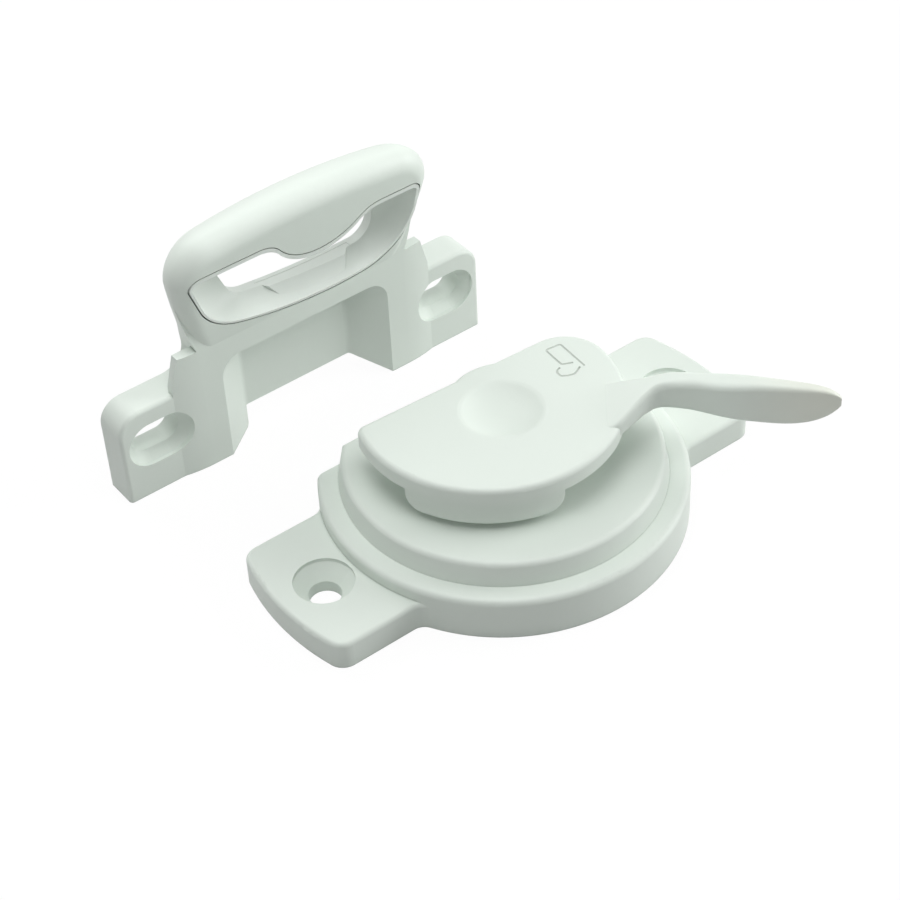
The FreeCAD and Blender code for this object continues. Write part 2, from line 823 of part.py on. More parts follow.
def draw_mouth(sketch, mouth):
    """The mouth seen from the front: leaning sides on a round floor, and a roof with a dip."""
    low_place, bend = mouth["floor_place"], mouth["floor_radius"]
    corner, top_corner = mouth["floor_corner"], mouth["top_corner"]
    dip_x, dip_half, dip_foot = size("mouth_dip_place"), mouth["dip_half"], mouth["dip_foot"]
    heart, hump = mouth["floor"] + bend, size("mouth_dip_hump")

    def flank(side, lean):
        """One side: its points from the floor up to the dip, and the dip's two radii summed."""
        roof = mouth["roof"] - side * size("mouth_roof_tilt")
        # Where the leaning side would meet the roof if it had no corner round
        reach = top_corner * (1 + sine(lean)) / cosine(lean)
        peak = mouth["half"] + side * (mouth["place"] - low_place) + reach - top_corner
        # The corner round touches the side and, from inside, the floor's great circle
        span = bend - corner
        away = peak * cosine(lean) - roof * sine(lean) - corner + heart * sine(lean)
        slide = root(span * span - away * away)
        centre = away * cosine(lean) - slide * sine(lean)
        drop = away * sine(lean) + slide * cosine(lean)
        depth = roof - dip_foot
        points = (
            (low_place + side * centre * bend / span, heart - drop * bend / span),
            (low_place + side * (centre + corner * cosine(lean)),
             heart - drop - corner * sine(lean)),
            (low_place + side * (peak - reach * sine(lean)), roof - reach * cosine(lean)),
            (low_place + side * (peak - reach), roof),
            (dip_x + side * dip_half, roof),
            (dip_x + side * dip_half * (1 - hump), roof - depth * hump))
        return points, (dip_half * dip_half + depth * depth) / (depth * 2)

    left, left_sum = flank(-1, size("mouth_left_lean"))
    right, right_sum = flank(1, size("mouth_right_lean"))
    return draw(
        sketch, left[0],
        (right[0], bend, 1),
        (right[1], corner, 1),
        right[2],
        (right[3], top_corner, 1),
        right[4],
        (right[5], right_sum * hump, 1),
        ((dip_x, dip_foot), right_sum * (1 - hump), -1),
        (left[5], left_sum * (1 - hump), -1),
        (left[4], left_sum * hump, 1),
        left[3],
        (left[2], top_corner, 1),
        left[1],
        (left[0], corner, 1))


def draw_head(sketch, half, top):
    """The head seen from the front: a low crown on round corners, blended into the ears."""
    foot, seat = size("head_foot"), size("keeper_ear_height")
    neck, blend = size("head_neck_half_width"), size("head_neck_blend")
    corner, crown, side = size("head_corner"), size("head_crown_radius"), size("head_side_radius")
    inner, span = crown - corner, half - corner
    rise = root(inner * inner - span * span)
    shoulder = top - crown + rise
    crown_x = span * crown / inner
    crown_z = top - crown + rise * crown / inner
    start = (-neck - blend, foot)
    return draw(
        sketch, start,
        (neck + blend, foot),
        (neck + blend, seat),
        ((neck, seat + blend), blend, -1),
        ((half, shoulder), side, 1),
        ((crown_x, crown_z), corner, 1),
        ((-crown_x, crown_z), crown, 1),
        ((-half, shoulder), corner, 1),
        ((-neck, seat + blend), side, 1),
        ((-neck - blend, seat), blend, -1),
        start)


def cut_to_lean(body, name):
    """Cuts a body back to the head's leaning front face, and upright below it."""
    lean_foot, top = size("head_lean_foot"), size("head_top") * 2
    slope = sine(size("head_lean")) / cosine(size("head_lean"))
    wide = size("keeper_half_length")
    start = (ZERO, ZERO)
    outline = draw(
        make_sketch(body, name + "_outline", "YZ_Plane", -wide), start,
        (ZERO, lean_foot),
        (-slope * (top - lean_foot), top),
        (-top, top),
        (-top, ZERO),
        start)
    pocket(body, outline, wide * 2, name, True)


def on_lean(edge):
    """True for an edge that lies in the head's leaning front face, above its foot."""
    slope, foot = math.tan(math.radians(SIZES["head_lean"])), SIZES["head_lean_foot"]
    return (all(abs(v.Y + slope * (v.Z - foot)) < 0.01 for v in edge.Vertexes)
            and middle_of(edge).z > foot * 1.05)


def add_head(doc, body):
    """The head: lofted from nose to back, then cut to its lean and rounded in front."""
    depth, half, top = size("keeper_depth"), size("head_half_width"), size("head_top")
    places = (
        ("nose", depth, half - size("head_nose_taper"), top - size("head_nose_drop")),
        ("middle", ZERO, half, top),
        ("back", -depth, half - size("head_back_taper"), top - size("head_back_drop")),
    )
    loft(body, "AdditiveLoft", "head", [
        draw_head(make_sketch(body, "head_" + name, "XZ_Plane", lift), wide, high)
        for name, lift, wide, high in places])
    cut_to_lean(body, "head_lean_cut")
    fillet(doc, body, size("head_front_round"), "head_front_rounds", on_lean)

    # Below the lean the head stands back, so that the face covers it
    below = box_sketch(body, "head_foot_outline", "XZ_Plane", ZERO, -half * 2, half * 2,
                       ZERO, size("head_lean_foot"))
    pocket(body, below, size("face_thickness") / 2, "head_foot_cut")


def add_face(body):
    """The legs' front plate: flat in the middle, curved back to the ears at its sides."""
    half, flat = size("face_half_width"), size("face_flat_half_width")
    step, thick, tall = size("keeper_ear_step"), size("face_thickness"), size("face_height")
    bevel, bevel_foot = size("face_bevel"), size("face_bevel_foot")
    bend = ((half - flat) * (half - flat) + step * step) / (step * 2)
    start = (-half, step)
    outline = draw(
        make_sketch(body, "face_outline"), start,
        ((-flat, ZERO), bend, 1),
        (flat, ZERO),
        ((half, step), bend, 1),
        (half, thick),
        (-half, thick),
        start)
    pad(body, outline, tall, "face")
    for side, name in ((-1, "left"), (1, "right")):
        start = (side * half, bevel_foot)
        corner = draw(
            make_sketch(body, "face_bevel_outline_" + name, "XZ_Plane"), start,
            (side * half, tall),
            (side * (half - bevel), tall),
            start)
        pocket(body, corner, thick, "face_bevel_" + name)


def add_ears(doc, body):
    """The two ears, as one plate behind the face."""
    reach, height = size("keeper_half_length"), size("keeper_ear_height")
    step, depth = SIZES["keeper_ear_step"], size("keeper_depth")
    ears = box_sketch(body, "keeper_ear_outline", "XZ_Plane", -depth, -reach, reach,
                      ZERO, height)
    pad(body, ears, depth - size("keeper_ear_step"), "keeper_ears")
    fillet(doc, body, size("keeper_ear_corner"), "keeper_ear_corners",
           lambda e: abs(abs(middle_of(e).x) - reach.value) < 0.01
           and level(e, height.value))
    fillet(doc, body, size("keeper_edge_round"), "keeper_ear_rounds",
           lambda e: abs(e.BoundBox.YMax - step) < 0.01
           and abs(e.BoundBox.YMin - step) < 0.01
           and middle_of(e).z > 0.01
           and abs(middle_of(e).x) > SIZES["face_half_width"] + 0.01)


def cut_recess(doc, body):
    """The recess between the legs: it narrows to the back, over a web with a raised foot."""
    half, top = size("recess_half_width"), size("recess_height")
    deep, flare, corner = size("recess_depth"), size("recess_flare"), size("recess_corner")
    foot, depth = size("web_foot"), size("keeper_depth")
    margin = deep / 4
    sections = []
    for name, lift, wide in (("near", margin, half + flare / 4), ("far", -deep, half - flare)):
        start = (-wide, -margin)
        sections.append(draw(
            make_sketch(body, "recess_" + name, "XZ_Plane", lift), start,
            (wide, -margin),
            (wide, top - corner),
            ((wide - corner, top), corner, 1),
            (corner - wide, top),
            ((-wide, top - corner), corner, 1),
            start))
    loft(body, "SubtractiveLoft", "recess", sections)
    fillet(doc, body, size("recess_round"), "recess_rounds",
           lambda e: abs(e.BoundBox.YMin - deep.value) < 0.01
           and abs(e.BoundBox.YMax - deep.value) < 0.01)
    web_half = half - flare
    gap = box_sketch(body, "web_foot_outline", "XZ_Plane", margin, -web_half, web_half,
                     -margin, foot)
    pocket(body, gap, depth * 2, "web_foot_cut")

    # The right leg's inner foot slopes up to the back
    low = -margin * foot / deep
    start = (-margin, low)
    slope = draw(
        make_sketch(body, "leg_foot_outline", "YZ_Plane", web_half), start,
        (deep, foot),
        (depth * 2, foot),
        (depth * 2, low),
        start)
    pocket(body, slope, flare, "leg_foot_cut", True)


def draw_slot(sketch, centre, travel, radius):
    """A slot along the sketch's first axis, with round ends."""
    left, right = centre[0] - travel / 2, centre[0] + travel / 2
    low, high = centre[1] - radius, centre[1] + radius
    start = (left, low)
    return draw(
        sketch, start,
        (right, low),
        ((right + radius, centre[1]), radius, 1),
        ((right, high), radius, 1),
        (left, high),
        ((left - radius, centre[1]), radius, 1),
        (start, radius, 1))


def cut_screw_slot(body, name, x):
    """A countersunk slot that lets the keeper slide a little before its screw is tight."""
    centre = (x, size("keeper_screw_height"))
    travel = size("keeper_slot_travel")
    rim, bore = size("keeper_slot_rim") / 2, size("screw_bore") / 2
    seat = size("keeper_ear_step") + size("screw_rim_depth")

    def slot(part, lift, radius):
        return draw_slot(make_sketch(body, "%s_%s" % (name, part), "XZ_Plane", lift),
                         centre, travel, radius)

    pocket(body, slot("rim", ZERO, rim), seat, name + "_rim_cut")
    loft(body, "SubtractiveLoft", name + "_seat_cut",
         [slot("seat_top", -seat, rim), slot("seat_foot", bore - rim - seat, bore)])
    pocket(body, slot("bore", ZERO, bore), size("keeper_depth") * 2, name + "_bore_cut")


def keeper_place(body):
    body.Placement = FreeCAD.Placement(
        FreeCAD.Vector(SIZES["keeper_x"], SIZES["keeper_y"], 0), FreeCAD.Rotation())
    bind(body, "Placement.Base.x", size("keeper_x"))
    bind(body, "Placement.Base.y", size("keeper_y"))


def mouth_sections(body, name, back, side=ZERO, low=ZERO, sill=ZERO, high=ZERO):
    """The mouth at the head's nose and middle and at its back, less a wall all round."""
    wide, top = size("head_half_width"), size("head_top")
    nose = front_mouth(wide - size("head_nose_taper"), top - size("head_nose_drop"))
    places = (
        ("nose", size("keeper_depth"), trimmed(nose, side, low, high)),
        ("middle", ZERO, trimmed(front_mouth(wide, top), side, low, high)),
        ("back", -back, trimmed(back_mouth(), side, sill, high)),
    )
    return [draw_mouth(make_sketch(body, "%s_%s" % (name, place), "XZ_Plane", lift), mouth)
            for place, lift, mouth in places]


def make_keeper(doc):
    """The keeper casting, in a frame of its own: front of its legs at y = 0."""
    body = make_body(doc, "keeper_body")
    add_head(doc, body)
    add_face(body)
    add_ears(doc, body)
    cut_recess(doc, body)
    loft(body, "SubtractiveLoft", "mouth", mouth_sections(body, "mouth", size("keeper_depth")))
    for side, name in ((-1, "left_slot"), (1, "right_slot")):
        cut_screw_slot(body, name, side * size("keeper_screw_half_pitch"))
    keeper_place(body)
    return body


def add_tooth(body, foot, sill):
    """A tooth in front of the sill: it widens to the back, and its hollow front leans back."""
    place, front = size("tooth_place"), size("tooth_front")
    half, flare, length = size("tooth_half_width"), size("tooth_flare"), size("tooth_length")
    lean, hollow = size("tooth_slope"), size("tooth_hollow")
    back = front + length
    # The front is all but straight at its foot, and hollow at its top
    levels = (
        ("foot", foot, front, hollow / 8),
        ("top", foot + size("tooth_height"), front + lean, hollow),
    )
    sections = []
    for name, height, near, bow in levels:
        wide = half + flare * (near - front) / length
        bend = (wide * wide + bow * bow) / (bow * 2)
        start = (place - wide, near)
        sections.append(draw(
            make_sketch(body, "tooth_" + name, "XY_Plane", height), start,
            ((place + wide, near), bend, -1),
            (place + half + flare, back),
            (place - half - flare, back),
            start))
    loft(body, "AdditiveLoft", "tooth", sections)

    # The tooth's top follows the sill, a hair lower
    bend, low_place = size("mouth_back_floor_radius"), size("mouth_back_floor_place")
    centre = sill - size("liner_gap") / 4 + bend
    top, margin = foot + size("tooth_height") * 2, size("liner_gap")

    def on_sill(x):
        return x, centre - root(bend * bend - (x - low_place) * (x - low_place))

    left, right = place - half - flare, place + half + flare
    start = on_sill(left)
    outline = draw(
        make_sketch(body, "tooth_top_outline", "XZ_Plane", margin - front), start,
        (on_sill(right), bend, 1),
        (right, top),
        (left, top),
        start)
    pocket(body, outline, length + margin * 2, "tooth_top_cut")


def make_liner(doc):
    """The nylon liner of the mouth: a bowl whose floor ramps up to a sill, with a tooth."""
    body = make_body(doc, "keeper_liner")
    gap, edge, depth = size("liner_gap"), size("liner_edge"), size("keeper_depth")
    loft(body, "AdditiveLoft", "liner",
         mouth_sections(body, "liner", depth, gap, gap, gap, gap))
    cut_to_lean(body, "liner_front_cut")
    inset = size("liner_back_inset")
    rear = box_sketch(body, "liner_back_outline", "XZ_Plane", inset - depth, -depth * 5, depth * 5,
                      ZERO, size("head_top") * 2)
    pocket(body, rear, depth, "liner_back_cut")

    low, sill = gap + size("liner_floor_wall"), gap + size("liner_sill_rise")
    high, land = gap + size("liner_roof_wall"), depth - size("liner_land")
    loft(body, "SubtractiveLoft", "bowl",
         mouth_sections(body, "bowl", land, gap + edge, low, sill, high))
    throat = draw_mouth(make_sketch(body, "throat_outline", "XZ_Plane", -land),
                        trimmed(back_mouth(), gap + edge, sill, high))
    pocket(body, throat, depth, "throat")
    tooth_foot = size("mouth_floor") + low + size("tooth_foot_rise")
    add_tooth(body, tooth_foot, size("mouth_floor") + sill)
    keeper_place(body)
    return body


def main():
    os.makedirs("parts", exist_ok=True)
    doc = FreeCAD.newDocument("sash_lock")
    make_sheet(doc)
    bodies = [make_base(doc), make_cam(doc)] + make_pivot(doc)
    bodies += [make_keeper(doc), make_liner(doc)]
    doc.recompute()
    for thing in doc.Objects:
        if "Invalid" in thing.State or "Error" in thing.State:
            raise RuntimeError("failed: %s %s" % (thing.Name, thing.State))
    for body in bodies:
        shape = body.Shape
        if shape.isNull() or not shape.isValid():
            raise RuntimeError("bad shape: " + body.Label)
        shape.exportStep("parts/%s.step" % body.Label)
        box = shape.BoundBox
        print(body.Label, len(shape.Solids), "solids", round(shape.Volume, 1), "mm3",
              [round(v, 1) for v in (box.XMin, box.XMax, box.YMin, box.YMax, box.ZMin, box.ZMax)])


main()
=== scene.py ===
import math

import bmesh
import bpy
from mathutils import Matrix, Vector
from mathutils.bvhtree import BVHTree
from mathutils.interpolate import poly_3d_calc


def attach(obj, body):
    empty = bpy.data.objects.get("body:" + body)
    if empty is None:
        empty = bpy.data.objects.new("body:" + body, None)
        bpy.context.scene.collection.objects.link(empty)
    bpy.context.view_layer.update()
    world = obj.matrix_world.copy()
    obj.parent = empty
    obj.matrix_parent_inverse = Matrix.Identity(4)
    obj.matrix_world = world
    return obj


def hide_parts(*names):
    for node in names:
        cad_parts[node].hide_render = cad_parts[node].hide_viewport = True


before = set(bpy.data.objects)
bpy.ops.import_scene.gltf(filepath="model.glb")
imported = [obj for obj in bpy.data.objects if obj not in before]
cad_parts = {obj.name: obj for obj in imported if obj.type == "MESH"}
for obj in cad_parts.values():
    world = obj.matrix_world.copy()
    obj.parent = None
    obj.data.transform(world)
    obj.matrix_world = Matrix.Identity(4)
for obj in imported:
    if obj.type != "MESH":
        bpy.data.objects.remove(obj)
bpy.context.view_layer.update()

MM = 0.001

# Camera: the angle of the photograph, in degrees, and the pivot's place in its picture
CAMERA_AZIMUTH = -35.56
CAMERA_ELEVATION = 42.33
CAMERA_ROLL = -3.0
CAMERA_DISTANCE = 320 * MM
FOCAL_PIXELS = 2182.54
PICTURE_PIXELS = 900
SENSOR_WIDTH = 36.0
PIVOT_PIXEL = (504.55, 501.76)

# Finishes, as linear colours
ENAMEL_PALE = (0.766, 0.834, 0.774)
ENAMEL_DEEP = (0.736, 0.804, 0.744)
ENAMEL_HANDLED = (0.775, 0.790, 0.700)
# The sign's grooves: the enamel darkened as painted shade in the grooves
GROOVE_SHADE_PALE = (0.62, 0.67, 0.62)
GROOVE_SHADE_DEEP = (0.56, 0.61, 0.56)
NYLON_PALE = (0.800, 0.850, 0.806)
NYLON_DEEP = (0.765, 0.816, 0.770)
STEEL_PALE = (0.62, 0.62, 0.60)
STEEL_DEEP = (0.48, 0.48, 0.47)
# The colour of painted shade in narrow gaps and inner corners
PAINTED_SEAM_SHADE = (0.30, 0.34, 0.30)

# Painted shade in seams: how far the ambient occlusion looks for a wall, and the openness where
# the painted shade is full and gone
SEAM_REACH = 0.45 * MM
SEAM_SAMPLES = 8
SEAM_CLOSED = 0.15
SEAM_OPEN = 0.8

# Enamel: noise scales, the depth of its orange peel, and how much each noise counts
ENAMEL_CLOUD_SCALE = 60.0
ENAMEL_PEEL_SCALE = 1300.0
ENAMEL_GRAIN_SCALE = 5200.0
ENAMEL_PEEL_DEPTH = 0.05 * MM
ENGRAVED_PEEL_DEPTH = 0.03 * MM
PEEL_SHARE, PEEL_GRAIN_SHARE = 0.75, 0.25
TINT_CLOUD_SHARE, TINT_GRAIN_SHARE = 0.8, 0.2
ENAMEL_ROUGHNESS = 0.42
ROUGHNESS_CLOUD_SHARE, ROUGHNESS_GRAIN_SHARE = 0.08, 0.05
ENAMEL_IOR = 1.45

# Nylon and steel
NYLON_CLOUD_SCALE = 90.0
NYLON_GRAIN_SCALE = 3600.0
NYLON_GRAIN_DEPTH = 0.04 * MM
NYLON_ROUGHNESS, NYLON_ROUGHNESS_SPREAD = 0.5, 0.1
NYLON_IOR = 1.5
STEEL_CLOUD_SCALE = 200.0
STEEL_RING_SCALE = 900.0
STEEL_RING_DISTORTION = 0.6
STEEL_RING_DEPTH = 0.02 * MM
STEEL_ROUGHNESS, STEEL_ROUGHNESS_SPREAD = 0.28, 0.1
COAT_BUMP_STRENGTH = 0.15
STEEL_BUMP_STRENGTH = 0.2

# The lever's tip at rest, where fingers have warmed the enamel's colour
LEVER_TIP = (37.0 * MM, -28.0 * MM, 18.0 * MM)
HANDLED_REACH = 16 * MM
HANDLED_SHARE = 0.75
HANDLED_POLISH = 0.12

# The lever's neck: where its front and back faces lie along it in the CAD, and how far each
# bends back from there, in mm. The lever points 38.5 degrees clockwise from +X.
LEVER_ANGLE = -38.5
LEAF_FRONT = ((11.0, -5.0), (15.5, -4.6), (19.5, -2.6), (23.5, -0.4), (31.0, 0.0), (38.0, 0.0))
LEAF_BACK = ((11.0, 5.5), (15.5, 5.2), (19.5, 4.2), (23.5, 3.4), (31.0, 3.2), (38.0, 2.8))
FRONT_BEND = ((15.0, 0.0), (16.4, 0.0), (17.9, 0.7), (19.4, 1.5), (20.5, 2.0), (21.5, 2.25),
              (22.5, 2.1), (23.8, 1.6), (25.8, 0.95), (28.5, 0.45), (31.5, 0.15), (34.0, 0.0),
              (35.0, 0.0))
BACK_BEND = ((17.0, 0.0), (19.0, 0.0), (21.0, 0.2), (22.3, 0.65), (24.0, 1.15), (26.0, 1.2),
             (28.0, 1.0), (31.0, 0.6), (34.0, 0.2), (37.0, 0.0), (38.0, 0.0))
BEND_STEP = 0.8 * MM
BEND_PASSES = 6
MERGE_DISTANCE = 0.0005 * MM
SLOPE_STEP = 0.01
PLATE_CENTRE = Vector((0.17, 3.2, 0)) * MM
PLATE_REACH = 19.7 * MM
PLATE_TOP = 18.2 * MM
PLATE_MARGIN = 0.02 * MM

# Engraved sign on the plate, an open padlock: its strokes as points in mm at rest
SIGN_LINE_WIDTH = 0.34 * MM
SIGN_LINE_DEPTH = 0.16 * MM
SIGN_CORNER = 0.35 * MM
SIGN_CORNER_POINTS = 5
SIGN_PROFILE_POINTS = 12
SIGN_STROKES = (
    ((14.18, 1.25), (12.58, 1.96), (12.86, 5.93), (15.37, 5.62), (14.96, -0.34)),
    ((14.32, -0.1), (13.35, -0.58), (12.69, -0.81), (11.71, -0.53), (10.89, 0.05), (10.93, 0.88),
     (11.23, 1.35), (11.98, 1.59)),
)

# Where a normal is looked up: this share of the way from a corner to its face's centre
LOOK_INWARD = 0.02

# Softboxes: name, place, aim and side in metres, and power in watts
LOCK_AIM = (0, 0, 0.01)
KEEPER_AIM = (-0.01, 0.034, 0.03)
SOFTBOXES = (
    ("right_box", (0.35, -0.15, 0.15), LOCK_AIM, 0.25, 1.08),
    ("back_box", (0, 0.35, 0.3), LOCK_AIM, 0.3, 0.76),
    ("front_box", (-0.2, -0.3, 0.3), LOCK_AIM, 0.3, 0.13),
    ("left_box", (-0.35, 0.05, 0.15), LOCK_AIM, 0.25, 0.09),
    ("overhead_box", (-0.05, 0.03, 0.26), LOCK_AIM, 0.14, 0.14),
    ("keeper_box", (-0.02, -0.02, 0.16), KEEPER_AIM, 0.08, 0.06),
)
WHITE = (1, 1, 1, 1)
AMBIENT_LEVEL = 0.165
BACKGROUND_LEVEL = 1.0

# Floor: half its side, its grey, and its glow as (metres from the pivot, level)
FLOOR_REACH = 2.0
FLOOR_GREY = (0.62, 0.62, 0.62, 1)
FLOOR_GLOW_NEAR = (0.05, 1.065)
FLOOR_GLOW_FAR = (0.6, 1.125)
FLOOR_GLOW_SHARE = 0.88

# Sockets that Blender tells apart by number only
OBJECT_PLACE = 3
MIX_FACTOR, MIX_FIRST, MIX_SECOND, MIX_RESULT = 0, 6, 7, 2


class Wire:
    """An output of a tree's nodes that can be used in arithmetic."""

    def __init__(self, nodes, socket):
        self.nodes = nodes
        self.socket = socket

    def maths(self, operation, first, second):
        return self.nodes.add("ShaderNodeMath", {"operation": operation}, {0: first, 1: second})

    def __add__(self, other):
        return self.maths("ADD", self, other)

    def __radd__(self, other):
        return self.maths("ADD", other, self)

    def __sub__(self, other):
        return self.maths("SUBTRACT", self, other)

    def __rsub__(self, other):
        return self.maths("SUBTRACT", other, self)

    def __mul__(self, other):
        return self.maths("MULTIPLY", self, other)

    def __rmul__(self, other):
        return self.maths("MULTIPLY", other, self)


class Nodes:
    """The nodes of one tree, added one call at a time."""

    def __init__(self, tree):
        self.tree = tree
        tree.nodes.clear()

    def add(self, kind, settings=None, sockets=None, output=0):
        node = self.tree.nodes.new(kind)
        for key, value in (settings or {}).items():
            setattr(node, key, value)
        for key, value in (sockets or {}).items():
            if isinstance(value, Wire):
                self.tree.links.new(value.socket, node.inputs[key])
            else:
                node.inputs[key].default_value = value
        return Wire(self, node.outputs[output]) if node.outputs else node

    def place(self):
        """The place of a point in its object's own coordinates."""
        return self.add("ShaderNodeTexCoord", output=OBJECT_PLACE)

    def bump(self, strength, depth, height):
        return self.add("ShaderNodeBump", None,
                        {"Strength": strength, "Distance": depth, "Height": height})

    def surface(self, shader):
        self.add("ShaderNodeOutputMaterial", None, {"Surface": shader})

    def noise(self, place, scale, detail=2.0):
        return self.add("ShaderNodeTexNoise", None,
                        {"Vector": place, "Scale": scale, "Detail": detail})

    def blend(self, mask, *colours):
        """Mixes two colours, each a wire or its red, green and blue."""
        first, second = (colour if isinstance(colour, Wire) else colour + (1,)
                         for colour in colours)
        return self.add("ShaderNodeMix", {"data_type": "RGBA"},
                        {MIX_FACTOR: mask, MIX_FIRST: first, MIX_SECOND: second},
                        output=MIX_RESULT)

    def paint_seam_shade(self, colour):
        """Paints shade into a colour: darker in narrow gaps and along inner corners, where walls
        stand close.
        """
        openness = self.add("ShaderNodeAmbientOcclusion", {"samples": SEAM_SAMPLES},
                            {"Distance": SEAM_REACH}, output=1)
        mask = self.add("ShaderNodeMapRange", None,
                        {"Value": openness, "From Min": SEAM_CLOSED, "From Max": SEAM_OPEN})
        return self.blend(mask, PAINTED_SEAM_SHADE, colour)

    def seen_directly(self):
        """1 for rays of the camera and for rays that mirror or pass, 0 for those that light."""
        path = self.add("ShaderNodeLightPath")
        outputs = path.socket.node.outputs
        camera, glossy, passing = (Wire(self, outputs[name]) for name in (
            "Is Camera Ray", "Is Glossy Ray", "Is Transmission Ray"))
        return self.add("ShaderNodeMath", {"operation": "ADD", "use_clamp": True},
                        {0: camera + glossy, 1: passing})


def new_material(name):
    material = bpy.data.materials.new(name)
    material.use_nodes = True
    return material, Nodes(material.node_tree)


def cast_enamel(name, deep, pale, peel_depth, handled=False):
    """Baked enamel on a die casting: even and satin, with a faint orange peel."""
    material, nodes = new_material(name)
    place = nodes.place()
    cloud = nodes.noise(place, ENAMEL_CLOUD_SCALE)
    peel = nodes.noise(place, ENAMEL_PEEL_SCALE, 1.0)
    grain = nodes.noise(place, ENAMEL_GRAIN_SCALE, 0.0)
    bump = nodes.bump(COAT_BUMP_STRENGTH, peel_depth,
                      peel * PEEL_SHARE + grain * PEEL_GRAIN_SHARE)
    colour = nodes.blend(cloud * TINT_CLOUD_SHARE + grain * TINT_GRAIN_SHARE, deep, pale)
    roughness = (ENAMEL_ROUGHNESS + cloud * ROUGHNESS_CLOUD_SHARE
                 + grain * ROUGHNESS_GRAIN_SHARE)
    if handled:
        tip = nodes.add("ShaderNodeVectorMath", {"operation": "DISTANCE"},
                        {0: place, 1: LEVER_TIP}, output=1)
        near = nodes.add("ShaderNodeMapRange", {"interpolation_type": "SMOOTHSTEP"},
                         {"Value": tip, "From Min": 0.0, "From Max": HANDLED_REACH,
                          "To Min": HANDLED_SHARE, "To Max": 0.0})
        colour = nodes.blend(near, colour, ENAMEL_HANDLED)
        roughness = roughness - near * HANDLED_POLISH
    # The base colour carries painted shade in its gaps and inner corners
    nodes.surface(nodes.add("ShaderNodeBsdfPrincipled", None, {
        "Base Color": nodes.paint_seam_shade(colour), "Roughness": roughness,
        "Normal": bump, "IOR": ENAMEL_IOR}))
    return material


def moulded_nylon():
    """Natural nylon: a touch whiter and duller than the enamel."""
    material, nodes = new_material("moulded_nylon")
    place = nodes.place()
    cloud = nodes.noise(place, NYLON_CLOUD_SCALE)
    grain = nodes.noise(place, NYLON_GRAIN_SCALE, 1.0)
    # The base colour carries painted shade in its gaps and inner corners
    nodes.surface(nodes.add("ShaderNodeBsdfPrincipled", None, {
        "Base Color": nodes.paint_seam_shade(nodes.blend(cloud, NYLON_DEEP, NYLON_PALE)),
        "Roughness": NYLON_ROUGHNESS + cloud * NYLON_ROUGHNESS_SPREAD,
        "Normal": nodes.bump(COAT_BUMP_STRENGTH, NYLON_GRAIN_DEPTH, grain),
        "IOR": NYLON_IOR}))
    return material


def turned_steel():
    """Plated steel with fine turning marks about the pivot."""
    material, nodes = new_material("turned_steel")
    place = nodes.place()
    rings = nodes.add("ShaderNodeTexWave", {"wave_type": "RINGS", "rings_direction": "Z"},
                      {"Vector": place, "Scale": STEEL_RING_SCALE,
                       "Distortion": STEEL_RING_DISTORTION, "Detail": 1.0})
    cloud = nodes.noise(place, STEEL_CLOUD_SCALE)
    nodes.surface(nodes.add("ShaderNodeBsdfPrincipled", None, {
        "Base Color": nodes.blend(cloud, STEEL_DEEP, STEEL_PALE), "Metallic": 1.0,
        "Roughness": STEEL_ROUGHNESS + rings * STEEL_ROUGHNESS_SPREAD,
        "Normal": nodes.bump(STEEL_BUMP_STRENGTH, STEEL_RING_DEPTH, rings)}))
    return material


def dress(names, material):
    for name in names:
        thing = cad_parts[name]
        thing.data.materials.clear()
        thing.data.materials.append(material)
        for polygon in thing.data.polygons:
            polygon.material_index = 0


def add_object(name, data):
    """Puts a mesh, a light or a camera into the scene."""
    thing = bpy.data.objects.new(name, data)
    bpy.context.scene.collection.objects.link(thing)
    return thing


def flatten(thing, name):
    """The evaluated shape of an object as a plain mesh."""
    graph = bpy.context.evaluated_depsgraph_get()
    mesh = bpy.data.meshes.new_from_object(thing.evaluated_get(graph))
    mesh.name = name
    return mesh


def groove_tree(material):
    """Geometry Nodes that sweep a half-round groove cutter along the strokes of a sign."""
    tree = bpy.data.node_groups.new("engraved_line", "GeometryNodeTree")
    face = tree.interface
    face.new_socket("Geometry", in_out="INPUT", socket_type="NodeSocketGeometry")
    keys = {name: face.new_socket(name, in_out="INPUT", socket_type="NodeSocketFloat").identifier
            for name in ("Line width", "Line depth", "Corner radius")}
    face.new_socket("Geometry", in_out="OUTPUT", socket_type="NodeSocketGeometry")
    nodes = Nodes(tree)
    given = nodes.add("NodeGroupInput")
    outputs = given.socket.node.outputs
    width, depth, corner = (Wire(nodes, outputs[name]) for name in keys)
    path = nodes.add("GeometryNodeMeshToCurve", None, {"Mesh": given})
    path = nodes.add("GeometryNodeFilletCurve", {"mode": "POLY"},
                     {"Curve": path, "Radius": corner, "Count": SIGN_CORNER_POINTS})
    profile = nodes.add("GeometryNodeCurvePrimitiveCircle", None,
                        {"Resolution": SIGN_PROFILE_POINTS, "Radius": 1.0})
    scale = nodes.add("ShaderNodeCombineXYZ", None, {"X": width * 0.5, "Y": depth, "Z": 1.0})
    profile = nodes.add("GeometryNodeTransform", None, {"Geometry": profile, "Scale": scale})
    sweep = nodes.add("GeometryNodeCurveToMesh", None,
                      {"Curve": path, "Profile Curve": profile, "Fill Caps": True})
    whole = nodes.add("GeometryNodeRealizeInstances", None, {"Geometry": sweep})
    whole = nodes.add("GeometryNodeSetMaterial", None, {"Geometry": whole, "Material": material})
    nodes.add("NodeGroupOutput", None, {0: whole})
    return tree, keys


